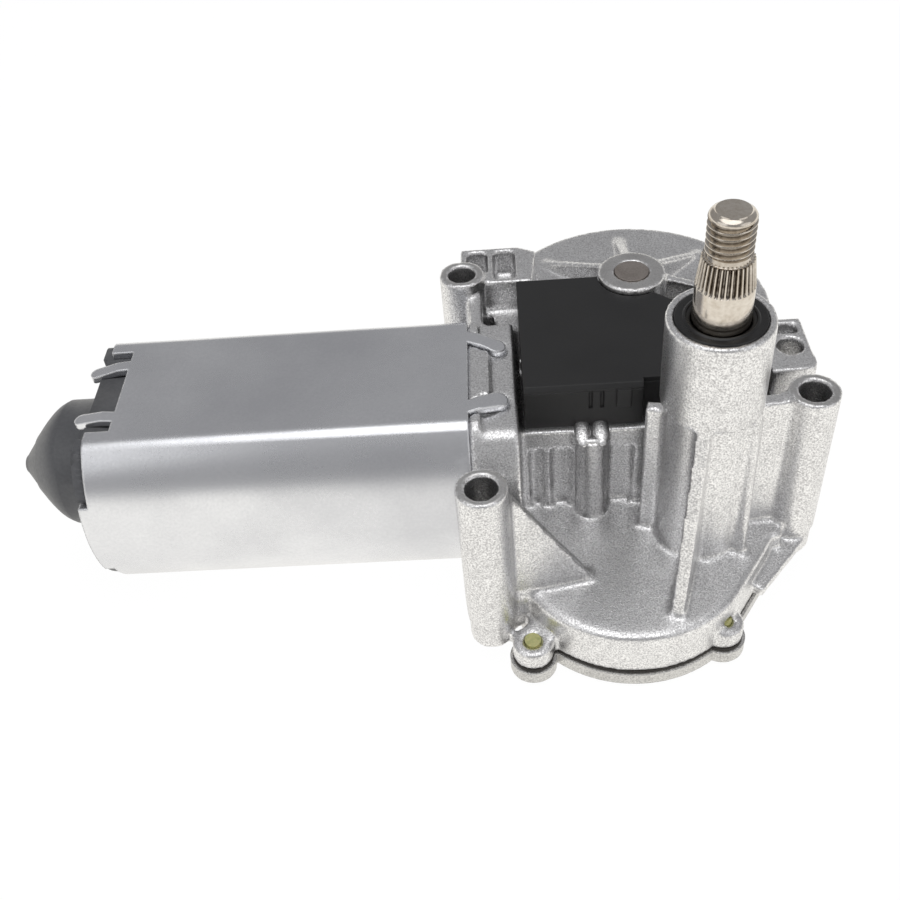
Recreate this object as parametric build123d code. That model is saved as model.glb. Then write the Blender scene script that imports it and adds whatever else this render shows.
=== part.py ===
from build123d import *
import os
from math import atan2, cos, degrees, hypot, pi, radians, sin, sqrt, tan

# A wiper motor with an oscillating output: a flat-sided motor drives a worm wheel,
# whose crank swings a connecting rod. The rod's toothed sector turns a pinion on the
# output spindle. Millimetres, +Z along the output spindle. The origin lies on the
# spindle's axis, at the foot of the knurled cone that carries the wiper arm.

# ---- output spindle and turret ----
spindle_r = 6.5            # stretch that runs in the bushes and the seal
spindle_neck_r = 6.3       # bare stretch between the seal and the knurled cone
spindle_neck_length = 5.5
cone_top_r = 5.5
cone_length = 6.9
thread_r = 5.0
thread_length = 10.0
thread_chamfer = 1.0
neck_groove_r = 4.3        # run-out between thread and cone
neck_groove_length = 1.1
arm_seat_height = 35.7  # cone foot above the mounting plane
turret_height = 27.3  # turret rim above the mounting plane
turret_r = 11.8
turret_step_height = 3.4  # where the thick upper barrel of the turret ends
turret_lower_r = 10.2
seal_r = 10.0
seal_depth = 4.0
seal_lip_height = 2.2
bush_wall = 1.8
bush_length = 12.0

# ---- mounting posts (x, y) and their sizes ----
post_r = 6.0
post_bore_r = 3.75
post_foot_r = 5.5
post_foot_length = 8.0
post_length = 52.5
post_places = {
    "front_left": (-53.1, -20.6),
    "rear_left": (-57.0, 59.4),
    "front_right": (24.9, 4.9),
}

# ---- drops below the mounting plane ----
motor_drop = 25.7
floor_drop = 41.0  # floor of the sector chamber's roof, seen from above
base_drop = 54.0  # joint face for the bottom cover
disc_drop = 11.2  # top of the wheel chamber at its rim
case_drop = 14.3           # top of the worm case, on which the control box sits
box_drop = 1.5  # top of the control box lid
bracket_drop = 4.0

# ---- wheel chamber and sector chamber (plan) ----
wheel_x, wheel_y = -11.6, 56.0
chamber_clearance = 2.15   # between the wheel's tooth tips and the chamber's wall
chamber_wall = 4.0
boss_r = 8.8
axle_r = 4.5
lobe_x, lobe_y, lobe_r = -17.5, -3.5, 30.2       # round front of the sector chamber
shoulder_x, shoulder_y, shoulder_r = -7.0, 8.0, 28.0   # its round side towards the spindle
lobe_wall = 3.5
roof_thickness = 2.5
case_left = -46.3
case_right = 21.0
case_back = 40.0
worm_case_front = 10.5
worm_case_back = 34.0

# ---- gearing ----
module = 1.25
worm_pitch_r = 4.75
wheel_teeth = 48
wheel_width = 9.0
pinion_teeth = 14
sector_teeth = 28          # teeth on the sector's full circle
crank_r = 12.0
rod_length = 57.5
gear_width = 4.5
link_thickness = 1.6
layer_gap = 0.25  # between the stacked flat plates
rod_width = 12.0
worm_play = 0.16
tooth_play = 0.12          # taken off each flank

# ---- motor ----
yoke_r = 30.7
yoke_half_height = 24.0
yoke_wall = 2.0
yoke_length = 95.5
yoke_flat_cut = 8.2        # the flats end this far short of the round sides, at the cap
yoke_flat_cut_half = 15.0
yoke_side_cut = 2.4        # shallow window in each round side, beside the flat
yoke_side_cut_low = 11.2
yoke_end_x = -55.8  # joint between yoke and gear housing
armature_r = 19.5
stack_rear_space = 22.0      # from the capped end of the can to the stack
stack_front_space = 26.5     # from the stack to the open end
winding_length = 8.0
commutator_r = 10.5
commutator_length = 13.0
armature_shaft_r = 4.0
worm_length = 30.0

# ---- details of the casting ----
bracket_hole = (24.2, 26.3)
bracket_hole_r = 3.25
right_bracket = [(17.5, 16.6), (29.3, 17.4), (29.1, 36.8), (17.5, 36.8)]
right_bracket_height = 18.0
right_pocket = [(21.6, 31.4), (27.4, 31.4), (27.4, 35.0), (21.6, 35.0)]
left_bracket_drop = 1.6
left_bracket = [(-57.4, 59.0), (-50.4, 56.9), (-38.0, 56.9), (-36.5, 70.5), (-41.5, 73.2), (-57.4, 73.2)]
left_pockets = [
    [(-55.6, 61.5), (-50.0, 59.0), (-50.0, 71.4), (-55.6, 71.4)],
    [(-48.4, 58.6), (-42.4, 58.6), (-42.4, 71.4), (-48.4, 71.4)],
]
pocket_depth = 8.0
spigot_length = 3.0
neck_end_x = -44.0         # end of the neck beside the control box
neck_inset = 0.9           # neck section inside the can section
neck_flat_inset = 2.5
collar_inset = 0.7         # collar round the mouth of the casting
collar_width = 2.8
collar_middle_width = 5.4
collar_middle_half = 8.6
peg_x, peg_y = -26.1, 9.8
peg_drop = 14.3
peg_r = 3.7
peg_slot_width = 0.9
peg_slot_depth = 4.0
# pockets cast into the front wall of the worm case, by their two x values
case_pockets = [(-41.8, -38.0), (-36.2, -31.4), (-22.0, -15.6)]
case_pocket_drop = 20.0
case_pocket_depth = 1.5
contact_x, contact_y = -29.0, 43.0       # park contacts above the wheel

# tongues of the can, either side of the motor's axis: at the casting and at the cap
tongue_root, tongue_tip = 13.6, 10.2
tongue_reach = 9.6
tongue_root_width, tongue_tip_width = 4.2, 4.8
tongue_drop = 1.8
finger_root, finger_tip = 9.8, 8.8
finger_reach = 10.4
finger_width = 3.4
tongue_embed = 1.0         # how far a tongue's root runs back into the wall it grows from

# ---- inside the motor ----
cap_rim = 0.5
cap_inset = 0.9            # the cap's shoulders inside the can's round sides
cap_plate_inset = 0.7
cap_plate = 2.4
plug_length = 12.5
plug_wall = 2.5
dome_r = 16.5
dome_length = 16.9
dome_round = 6.0
crease_r = 9.2             # where the dome turns into the cone
cone_rise = 7.1
nose_r = 2.75
nose_length = 0.8
rear_bearing_r = 7.5
magnet_half = 19.0
slot_count = 12
brush_angles = (0, 90, 180)
brush_spring_length = 3.0
brush_half = 2.4
brush_box_wall = 1.1
pivot_pin_r = 3.5
crank_pin_r = 3.5
pin_count = 4
worm_bush_r = 7.25
wheel_phase = 0.0

# ---- fits ----
running_gap = 0.04
body_gap = 0.3
seat_gap = 0.05

# ---- bottom cover ----
gasket_thickness = 0.6
cover_thickness = 3.6
ear_r = 5.0
ear_thickness = 5.5
screw_r = 2.0
screw_head_r = 4.0
screw_head_height = 2.4
# centre of each screw and the point of the case wall that its ear grows from
screw_places = [
    ((-43.3, -27.0), (-37.0, -18.0)),
    ((3.5, -23.3), (-1.0, -17.0)),
    ((23.0, 43.0), (16.0, 43.0)),
    ((11.0, 88.5), (5.0, 81.0)),
    ((-34.3, 88.5), (-28.0, 81.0)),
    ((-49.5, 46.5), (-41.0, 44.0)),
]

# ---- control box on top of the case ----
box_left, box_right = -42.4, 17.0
box_front, box_back = 12.2, 56.4
box_step_x, box_step_front = -13.5, 14.6     # front edge set back beside the turret
box_shoulder = 42.5        # back edge between the axle boss and the connector
box_connector_x, box_connector_back = 8.0, 48.6
box_wall = 1.6
lid_thickness = 1.6
lid_bevel = 1.0
socket_low, socket_high = 38.4, 47.0     # connector opening, across
socket_height = 5.4
socket_depth = 11.0
box_grooves = (-26.2, -23.4)
box_groove_width, box_groove_depth, box_groove_drop = 0.8, 0.6, 5.5
latch_x, latch_width, latch_drop, latch_thickness = -18.2, 3.6, 4.8, 0.8

mount_z = -arm_seat_height
turret_z = mount_z + turret_height
motor_z = mount_z - motor_drop
floor_z = mount_z - floor_drop
base_z = mount_z - base_drop
disc_z = mount_z - disc_drop
case_z = mount_z - case_drop
boss_z = mount_z
box_z = mount_z - box_drop
bracket_z = mount_z - bracket_drop
post_foot_z = mount_z - post_length
chamber_roof_z = disc_z - roof_thickness
turret_step_z = mount_z + turret_step_height
cover_top_z = base_z - gasket_thickness
cover_low_z = cover_top_z - cover_thickness
lobe_roof_z = floor_z - roof_thickness

wheel_pitch_r = module * wheel_teeth / 2
chamber_r = wheel_pitch_r + module + chamber_clearance
motor_y = wheel_y - wheel_pitch_r - worm_pitch_r
pinion_pitch_r = module * pinion_teeth / 2
sector_pitch_r = module * sector_teeth / 2
link_length = pinion_pitch_r + sector_pitch_r


# ---- helpers ----
def pillar(x, y, low, high, radius):
    """Upright cylinder between two heights."""
    return Pos(x, y, (low + high) / 2) * Cylinder(radius, high - low)


def tube(x, y, low, high, outer, inner):
    """Upright tube between two heights."""
    return pillar(x, y, low, high, outer) - pillar(x, y, low, high, inner)


def block(x0, x1, y0, y1, z0, z1):
    """Box between three pairs of limits."""
    centre = ((x0 + x1) / 2, (y0 + y1) / 2, (z0 + z1) / 2)
    return Pos(*centre) * Box(x1 - x0, y1 - y0, z1 - z0)


def along_motor(x0, x1, radius):
    """Cylinder on the motor's axis between two x values."""
    return Pos((x0 + x1) / 2, motor_y, motor_z) * Rot(0, 90, 0) * Cylinder(radius, x1 - x0)


def motor_ring(x0, x1, outer, inner):
    """Ring on the motor's axis."""
    return along_motor(x0, x1, outer) - along_motor(x0, x1, inner)


def prism(points, low, high):
    """Straight-sided plate with a polygon outline."""
    outline = Polyline(*points, close=True)
    return Pos(0, 0, low) * extrude(make_face(outline), high - low)


def slab(x0, y0, x1, y1, width, low, high):
    """Upright plate of a given width between two points in plan."""
    run = hypot(x1 - x0, y1 - y0)
    turn = degrees(atan2(y1 - y0, x1 - x0))
    return Pos(x0, y0, low) * Rot(0, 0, turn) * Pos(run / 2, 0, (high - low) / 2) * Box(run, width, high - low)


def polar(x, y, radius, angle):
    """Point at an angle in degrees about a centre."""
    return x + radius * cos(radians(angle)), y + radius * sin(radians(angle))


def buttress(angle, inner, top_r, foot_r, width, low, high):
    """Rib beside the turret whose outer edge slopes from foot_r to top_r."""
    side = Polyline((inner, low), (foot_r, low), (top_r, high), (inner, high), close=True)
    plate = extrude(Plane.XZ * make_face(side), width / 2, both=True)
    return Rot(0, 0, angle) * plate


# ---- linkage at rest: crank and rod in line, wheel side ----
centre_distance = hypot(wheel_x, wheel_y)
wheel_direction = degrees(atan2(wheel_y, wheel_x))


def link_angle(reach):
    """Direction of the link when the sector's pivot lies at a reach from the wheel's axis."""
    cosine = (centre_distance**2 + link_length**2 - reach**2) / (2 * centre_distance * link_length)
    return wheel_direction + degrees(atan2(sqrt(1 - cosine**2), cosine))


rest_angle = link_angle(rod_length - crank_r)
far_angle = link_angle(rod_length + crank_r)
pivot_x, pivot_y = polar(0, 0, link_length, rest_angle)
rod_direction = degrees(atan2(wheel_y - pivot_y, wheel_x - pivot_x))
crank_x, crank_y = polar(pivot_x, pivot_y, rod_length, rod_direction)


# ---- stack of flat plates in the sector chamber, from the roof down ----
upper_link_top = lobe_roof_z - body_gap - layer_gap
gear_top = upper_link_top - link_thickness - layer_gap
gear_low = gear_top - gear_width
lower_link_top = gear_low - layer_gap
lower_link_low = lower_link_top - link_thickness
wheel_top = motor_z + wheel_width / 2
wheel_low = motor_z - wheel_width / 2
gear_seat_r = spindle_r - 1.0
worm_bore_r = worm_pitch_r + module + 1.25
worm_end_x = case_right - 4
core_depth = module * 2.2 + 0.2
lid_low = box_z - lid_thickness
stack_x = yoke_end_x - yoke_length + stack_rear_space
stack_length = yoke_length - stack_rear_space - stack_front_space
commutator_x = yoke_end_x - 14.5
card_x = yoke_end_x - 6
brush_x = card_x - brush_half - brush_box_wall - seat_gap
brush_box_top = yoke_half_height - yoke_wall - 2
brush_gap = 0.15
yoke_far_x = yoke_end_x - yoke_length
yoke_top_z = motor_z + yoke_half_height
rear_bearing_x = yoke_far_x - cap_rim - 9
plug_r = yoke_r - yoke_wall - 0.1
plug_half_height = yoke_half_height - yoke_wall - 0.1
park_disc_top = wheel_top + 0.4
bush_outer_r = spindle_r + running_gap + bush_wall


# ---- gear housing ----
def can_face(x, radius, half_height, corner):
    """Round can section with two flats, square to the motor's axis."""
    section = Circle(radius) & Rectangle(2 * radius, 2 * half_height)
    section = fillet(section.vertices(), corner)
    return Plane(origin=(x, motor_y, motor_z), x_dir=(0, 1, 0), z_dir=(1, 0, 0)) * section


def can(x0, x1, radius, half_height, corner):
    """Solid of the can section between two x values."""
    return extrude(can_face(x0, radius, half_height, corner), x1 - x0)


def lobe_plate(low, high, inset):
    """Plan of the sector chamber: two round corners and their common tangents."""
    front = Pos(lobe_x, lobe_y) * Circle(lobe_r - inset)
    side = Pos(shoulder_x, shoulder_y) * Circle(shoulder_r - inset)
    outline = make_hull(front.edges() + side.edges())
    return Pos(0, 0, low) * extrude(outline, high - low)


def case_plan(low, high, inset):
    """Plan shared by the case, the gasket and the cover."""
    plan = lobe_plate(low, high, inset)
    plan += pillar(wheel_x, wheel_y, low, high, chamber_r + chamber_wall - inset)
    plan += block(case_left + inset, case_right - inset, lobe_y, case_back, low, high)
    return plan


def ears(low, high, radius):
    """Screw ears round the case."""
    parts = []
    for (x, y), (root_x, root_y) in screw_places:
        parts.append(pillar(x, y, low, high, radius) + slab(root_x, root_y, x, y, 1.7 * radius, low, high))
    return parts


def screw_holes(low, high, radius):
    """Bores for the cover screws."""
    return [pillar(x, y, low, high, radius) for (x, y), _ in screw_places]


def make_posts():
    """The three mounting posts, each with a thinner foot."""
    posts = []
    for x, y in post_places.values():
        foot_top = post_foot_z + post_foot_length
        posts.append(pillar(x, y, foot_top, mount_z, post_r))
        posts.append(pillar(x, y, post_foot_z, foot_top, post_foot_r))
    return posts


def post_webs():
    """Webs that tie the posts to the case."""
    front_x, front_y = post_places["front_left"]
    rear_x, rear_y = post_places["rear_left"]
    right_x, right_y = post_places["front_right"]
    gusset = Polyline((0, floor_z), (26, floor_z), (5.5, mount_z - 5), (0, mount_z - 5), close=True)
    gusset = extrude(Plane.XZ * make_face(gusset), 1.5, both=True)
    webs = [Pos(front_x, front_y + 2, 0) * Rot(0, 0, 12) * gusset]
    webs.append(slab(front_x, front_y, lobe_x - 20, lobe_y - 8, 6, post_foot_z, floor_z))
    webs.append(slab(front_x, front_y, front_x + 4, motor_y - 14, 3.5, base_z + 4, mount_z - 12))
    webs.append(slab(rear_x + 3.4, rear_y, rear_x + 3.4, motor_y + 18, 3.5, base_z + 4, mount_z - 4))
    webs.append(slab(rear_x, rear_y, wheel_x - 25, rear_y, 8, post_foot_z, disc_z))
    webs.append(slab(0, 2, right_x, right_y, 4, base_z + 5, mount_z - 1))
    flange = [(case_right - 3, 12), (right_x + 4, right_y + 1), (right_x + 3.5, right_y - 5), (14, -17), (8, -12)]
    webs.append(prism(flange, post_foot_z + 3.5, post_foot_z + 6.5))
    return webs


def make_brackets():
    """Pocketed brackets beside the rear post and beside the spindle."""
    top = mount_z - left_bracket_drop
    left = prism(left_bracket, base_z + 4, top)
    for pocket in left_pockets:
        left -= prism(pocket, top - pocket_depth, top + 1)
    right = prism(right_bracket, bracket_z - right_bracket_height, bracket_z)
    right = fillet(right.edges().filter_by(Axis.Z).group_by(Axis.X)[-1], 2.0)
    right -= prism(right_pocket, bracket_z - pocket_depth, bracket_z + 1)
    return [left, right]


def make_neck():
    """Neck between the motor and the worm case, with its spigot and the collar round its mouth."""
    mouth_x = yoke_end_x + body_gap
    neck = can(mouth_x, neck_end_x, yoke_r - neck_inset, yoke_half_height - neck_flat_inset, 4)
    collar = can(mouth_x, yoke_end_x + collar_width, yoke_r - collar_inset, yoke_half_height - collar_inset, 4)
    middle = block(mouth_x, yoke_end_x + collar_middle_width, motor_y - collar_middle_half,
                   motor_y + collar_middle_half, motor_z, yoke_top_z - collar_inset)
    neck += collar + middle
    neck += can(yoke_end_x - spigot_length, mouth_x + 1, plug_r, plug_half_height, 5)
    return neck


def turret_ribs():
    """Ribs that stiffen the turret below its step."""
    ribs = [buttress(252, 5, turret_r - 0.2, 29, 3.2, floor_z, turret_step_z)]
    ribs.append(buttress(165, 5, 14.6, 14.6, 3.4, floor_z, mount_z - 0.5))
    ribs.append(buttress(-38, 5, 12.4, 13.4, 2.6, floor_z, turret_step_z))
    return ribs


def disc_ribs():
    """Ribs that fall from the axle boss to the rim of the wheel chamber."""
    reach = chamber_r + 2
    ribs = [buttress(angle, 4, boss_r, reach, 2.6, disc_z - 1, boss_z - 2) for angle in (0, 45, 90, 135)]
    return [Pos(wheel_x, wheel_y, 0) * rib for rib in ribs]


def front_pockets():
    """Pockets of the worm case's front wall, and the slot that splits the peg's top."""
    cuts = []
    for left, right in case_pockets:
        cuts.append(block(left, right, worm_case_front - 1, worm_case_front + case_pocket_depth,
                          floor_z, mount_z - case_pocket_drop))
    peg_top = mount_z - peg_drop
    cuts.append(block(peg_x - peg_slot_width / 2, peg_x + peg_slot_width / 2, peg_y - peg_r - 1,
                      worm_case_front, peg_top - peg_slot_depth, peg_top + 1))
    return cuts


def make_gear_housing():
    """Die-cast case: both chambers, worm case, neck, turret, posts and brackets."""
    body = case_plan(base_z, floor_z, 0)
    body += pillar(wheel_x, wheel_y, base_z, disc_z, chamber_r + chamber_wall)
    body += block(neck_end_x - 1, case_right, worm_case_front, worm_case_back, floor_z - 1, case_z)
    body += pillar(wheel_x, wheel_y, disc_z - 1, boss_z, boss_r)
    body += make_neck()
    body += pillar(0, 0, floor_z - 1, turret_step_z, turret_lower_r)
    body += pillar(0, 0, turret_step_z, turret_z, turret_r)
    body += turret_ribs() + disc_ribs() + post_webs() + make_brackets() + make_posts()
    body += ears(base_z, base_z + ear_thickness, ear_r)
    body += pillar(peg_x, peg_y, floor_z - 1, mount_z - peg_drop, peg_r)
    body -= front_pockets()
    seat_z = yoke_top_z - yoke_wall - tongue_drop - body_gap
    for side in (-1, 1):
        body -= on_both_flats(tongue_plan(yoke_end_x, 1, side, body_gap, seat_z, yoke_top_z + 1))
    body -= pillar(wheel_x, wheel_y, base_z - 1, chamber_roof_z, chamber_r)
    body -= lobe_plate(base_z - 1, lobe_roof_z, lobe_wall)
    body -= block(case_left + lobe_wall, case_right - lobe_wall, lobe_y, case_back, base_z - 1, lobe_roof_z)
    body -= along_motor(box_left, case_right - 4, worm_bore_r)
    body -= along_motor(yoke_end_x - spigot_length - 1, box_left - 7, commutator_r + 4)
    body -= along_motor(box_left - 8, case_right - 1, armature_shaft_r + 3)
    body -= along_motor(case_right - 5, case_right + 1, 3)
    body -= pillar(wheel_x, wheel_y, chamber_roof_z - 1, boss_z + 1, axle_r)
    body -= pillar(0, 0, lobe_roof_z - 1, turret_z + 1, bush_outer_r)
    body -= pillar(0, 0, turret_z - seal_depth, turret_z + 1, seal_r)
    body -= block(contact_x - 5, contact_x + 5, contact_y - 3, contact_y + 3, chamber_roof_z - 1, disc_z + 1)
    body -= pillar(*bracket_hole, bracket_z - right_bracket_height - 1, bracket_z + 1, bracket_hole_r)
    for x, y in post_places.values():
        body -= pillar(x, y, base_z - 1, mount_z + 1, post_bore_r)
    body -= screw_holes(base_z - 1, base_z + ear_thickness + 1, screw_r)
    return body


# ---- sheet and moulded covers ----
def make_bottom_cover():
    """Cover plate over both chambers, with its own wider screw ears."""
    plate = case_plan(cover_low_z, cover_top_z, -0.6)
    plate += ears(cover_low_z, cover_top_z, ear_r + 0.8)
    plate -= case_plan(cover_low_z - 1, cover_low_z + 1, 6)
    plate -= screw_holes(cover_low_z - 1, cover_top_z + 1, screw_r + 0.2)
    return plate


def make_gasket():
    """Flat gasket between the case and the cover."""
    ring = case_plan(cover_top_z, base_z, 0.2)
    ring += ears(cover_top_z, base_z, ear_r)
    ring -= pillar(wheel_x, wheel_y, cover_top_z - 1, base_z + 1, chamber_r)
    ring -= lobe_plate(cover_top_z - 1, base_z + 1, lobe_wall)
    ring -= block(case_left + lobe_wall, case_right - lobe_wall, lobe_y, case_back, cover_top_z - 1, base_z + 1)
    ring -= screw_holes(cover_top_z - 1, base_z + 1, screw_r + 0.2)
    return ring


def make_cover_screws():
    """Screws through the cover into the ears of the case."""
    screws = []
    for (x, y), _ in screw_places:
        shank = pillar(x, y, cover_low_z, base_z + ear_thickness + 0.4, screw_r)
        head_low = cover_low_z - screw_head_height
        screws.append(shank + pillar(x, y, head_low, cover_low_z, screw_head_r))
    return Compound(screws)


def tongue_plan(x, way, side, gap, low, high):
    """Plan of one tongue from the can's edge at x: way 1 for the casting, -1 for the cap."""
    if way > 0:
        root, tip, reach, root_half, tip_half = (tongue_root, tongue_tip, tongue_reach,
                                                 tongue_root_width / 2, tongue_tip_width / 2)
    else:
        root, tip, reach, root_half, tip_half = (finger_root, finger_tip, finger_reach,
                                                 finger_width / 2, finger_width / 2)
    root_half += gap
    tip_half += gap
    root_y, tip_y = motor_y + side * root, motor_y + side * tip
    tip_x = x + way * (reach + gap - tip_half)
    root_x = x - way * tongue_embed
    plan = prism([(root_x, root_y - root_half), (tip_x, tip_y - tip_half),
                  (tip_x, tip_y + tip_half), (root_x, root_y + root_half)], low, high)
    return plan + pillar(tip_x, tip_y, low, high, tip_half)


def tongue(x, way, side):
    """Tongue of the can, from the edge of a flat, bent down over its neighbour."""
    reach = tongue_reach if way > 0 else finger_reach
    bend, end, root = x + way * 0.3 * reach, x + way * (reach + 1), x - way * (tongue_embed + 1)
    profile = Polyline((root, 0), (bend, 0), (end, -tongue_drop), (end, -tongue_drop - yoke_wall),
                       (bend, -yoke_wall), (root, -yoke_wall), close=True)
    strip = extrude(Plane.XZ * make_face(profile), yoke_r, both=True)
    strip = Pos(0, motor_y, yoke_top_z) * strip
    low = yoke_top_z - yoke_wall - tongue_drop - 1
    return strip & tongue_plan(x, way, side, 0, low, yoke_top_z + 1)


def on_both_flats(piece):
    """The piece as made on the upper flat, and its mirror image on the lower one."""
    return [piece, mirror(piece, about=Plane(origin=(0, 0, motor_z), z_dir=(0, 0, 1)))]


def make_yoke():
    """Rolled steel can with two flats, open at both ends, with tongues bent over."""
    shell = can(yoke_far_x, yoke_end_x, yoke_r, yoke_half_height, 4.5)
    shell -= can(yoke_far_x - 1, yoke_end_x + 1, yoke_r - yoke_wall, yoke_half_height - yoke_wall, 3)
    flat_end_x = yoke_far_x + yoke_flat_cut
    notch = block(yoke_far_x - 1, flat_end_x, motor_y - yoke_flat_cut_half, motor_y + yoke_flat_cut_half,
                  yoke_top_z - yoke_wall - 1, yoke_top_z + 1)
    window = block(yoke_far_x - 1, yoke_far_x + yoke_side_cut, motor_y - yoke_r - 1, motor_y + yoke_r + 1,
                   motor_z + yoke_side_cut_low, yoke_top_z + 1)
    shell -= on_both_flats(notch) + on_both_flats(window)
    for side in (-1, 1):
        shell += on_both_flats(tongue(yoke_end_x, 1, side))
        shell += on_both_flats(tongue(flat_end_x, -1, side))
    return shell


def cap_dome():
    """Dome over the rear bearing, rounded at its edge, with a blunt cone in the middle."""
    base_x = yoke_far_x + cap_plate_inset
    crease_x = base_x - dome_length
    nose_x = crease_x - cone_rise
    round_x = crease_x + dome_round
    lean = 0.29 * dome_round
    outline = Polyline((base_x + 1, 0), (base_x + 1, dome_r), (round_x, dome_r))
    outline += ThreePointArc((round_x, dome_r), (crease_x + lean, dome_r - lean), (crease_x, crease_r))
    outline += Polyline((crease_x, crease_r), (nose_x, nose_r), (nose_x - nose_length, nose_r / 2),
                        (nose_x - nose_length, 0), (base_x + 1, 0))
    return Pos(0, motor_y, motor_z) * revolve(Plane.XY * make_face(outline), Axis.X)


def make_end_cap():
    """Black plastic cap that closes the can and holds the rear bearing."""
    plate_x = yoke_far_x + cap_plate_inset
    shoulder = can(yoke_far_x - cap_rim, yoke_far_x + yoke_side_cut - body_gap, yoke_r - cap_inset, plug_half_height, 3)
    clear = yoke_side_cut_low + 1
    shoulder -= block(yoke_far_x - cap_rim - 1, yoke_far_x + yoke_side_cut, motor_y - yoke_r, motor_y + yoke_r,
                      motor_z - clear, motor_z + clear)
    shoulder -= block(yoke_far_x - cap_rim - 1, yoke_far_x + yoke_side_cut, motor_y - yoke_flat_cut_half,
                      motor_y + yoke_flat_cut_half, motor_z - yoke_half_height, motor_z + yoke_half_height)
    cap = can(plate_x, yoke_far_x + plug_length, plug_r, plug_half_height, 3)
    cap += shoulder + cap_dome()
    cap -= along_motor(plate_x + cap_plate, yoke_far_x + plug_length + 1, plug_half_height - plug_wall)
    cap -= along_motor(rear_bearing_x, plate_x + cap_plate + 1, rear_bearing_r)
    low = yoke_top_z - yoke_wall - tongue_drop - body_gap
    for side in (-1, 1):
        cap -= on_both_flats(tongue_plan(yoke_far_x + yoke_flat_cut, -1, side, body_gap, low, yoke_top_z))
    return cap


def make_control_box():
    """Open tray of the control box, with the shroud of its connector."""
    tray = box_plan(case_z, lid_low, 0)
    tray -= pillar(wheel_x, wheel_y, case_z - 1, disc_z, chamber_r + chamber_wall + seat_gap)
    tray -= box_plan(disc_z + box_wall, lid_low + 1, box_wall)
    inner = socket_low - box_wall, socket_high + box_wall
    tray += block(box_right - socket_depth - box_wall, box_right, *inner, disc_z, lid_low)
    socket_z = disc_z + box_wall
    tray -= block(box_right - socket_depth, box_right + 1, socket_low, socket_high, socket_z, socket_z + socket_height)
    tray -= block(contact_x - 4.5, contact_x + 4.5, contact_y - 2.5, contact_y + 2.5, disc_z - 1, disc_z + box_wall + 1)
    for x in box_grooves:
        tray -= block(x - box_groove_width / 2, x + box_groove_width / 2, box_front - 1,
                      box_front + box_groove_depth, lid_low - box_groove_drop, lid_low + 1)
    return tray - pin_blades()


def box_plan(low, high, inset):
    """Plan of the control box: round the axle boss, short beside the spindle."""
    left, right = box_left + inset, box_right - inset
    front, back = box_front + inset, box_back - inset
    shoulder = box_shoulder - inset
    step_x, step_front = box_step_x - inset, box_step_front + inset
    plan = prism([(left, front), (step_x, front), (step_x, step_front), (right, step_front),
                  (right, box_connector_back - inset), (box_connector_x + inset, box_connector_back - inset),
                  (box_connector_x + inset, shoulder), (0, shoulder), (wheel_x + 5, wheel_y - 8),
                  (wheel_x - 6, back), (left, back)], low, high)
    return plan - pillar(wheel_x, wheel_y, low - 1, high + 1, boss_r + body_gap + inset)


def make_box_lid():
    """Lid of the control box, with a bevelled front edge and a latch."""
    lid = box_plan(lid_low, box_z, 0)
    front_edge = lid.edges().filter_by(Axis.X).group_by(Axis.Y)[0].sort_by(Axis.Z)[-1]
    lid = chamfer(front_edge, lid_bevel)
    lid += block(latch_x - latch_width / 2, latch_x + latch_width / 2, box_front - latch_thickness, box_front,
                 lid_low - latch_drop, lid_low + 0.4)
    return lid


# ---- output train ----
def gear_profile(teeth, pitch_r, play, add, ded, start_angle, count):
    """Points of a toothed outline with straight flanks, anticlockwise."""
    points = []
    step = 360 / teeth
    half = step / 4 - degrees(play / pitch_r)
    lean = degrees(tan(radians(20)) * add / pitch_r)
    foot = degrees(tan(radians(20)) * ded / pitch_r)
    for i in range(count):
        middle = start_angle + i * step
        points.append(polar(0, 0, pitch_r - ded, middle - half - foot))
        points.append(polar(0, 0, pitch_r + add, middle - half + lean))
        points.append(polar(0, 0, pitch_r + add, middle + half - lean))
        points.append(polar(0, 0, pitch_r - ded, middle + half + foot))
    return points


def make_output_shaft():
    """Spindle with its thread blank, knurl blank, bearing stretch and gear seat."""
    cone_low, cone_high = 0.0, cone_length
    thread_low = cone_high + neck_groove_length
    thread_high = thread_low + thread_length
    profile = Polyline((0, lower_link_low - 1.6), (gear_seat_r, lower_link_low - 1.6), (gear_seat_r, gear_top),
                       (spindle_r, gear_top), (spindle_r, cone_low - spindle_neck_length),
                       (spindle_neck_r, cone_low - spindle_neck_length), (spindle_neck_r, cone_low),
                       (cone_top_r, cone_high),
                       (neck_groove_r, cone_high), (neck_groove_r, thread_low), (thread_r, thread_low),
                       (thread_r, thread_high - thread_chamfer), (thread_r - thread_chamfer, thread_high),
                       (0, thread_high), close=True)
    return revolve(Plane.XZ * make_face(profile), Axis.Z)


def make_pinion():
    """Output pinion, in mesh with the sector at rest."""
    contact = degrees(atan2(pivot_y, pivot_x))
    points = gear_profile(pinion_teeth, pinion_pitch_r, tooth_play, module * 0.9, module * 1.15, contact, pinion_teeth)
    gear = prism(points, gear_low, gear_top)
    return gear - pillar(0, 0, gear_low - 1, gear_top + 1, gear_seat_r)


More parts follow.
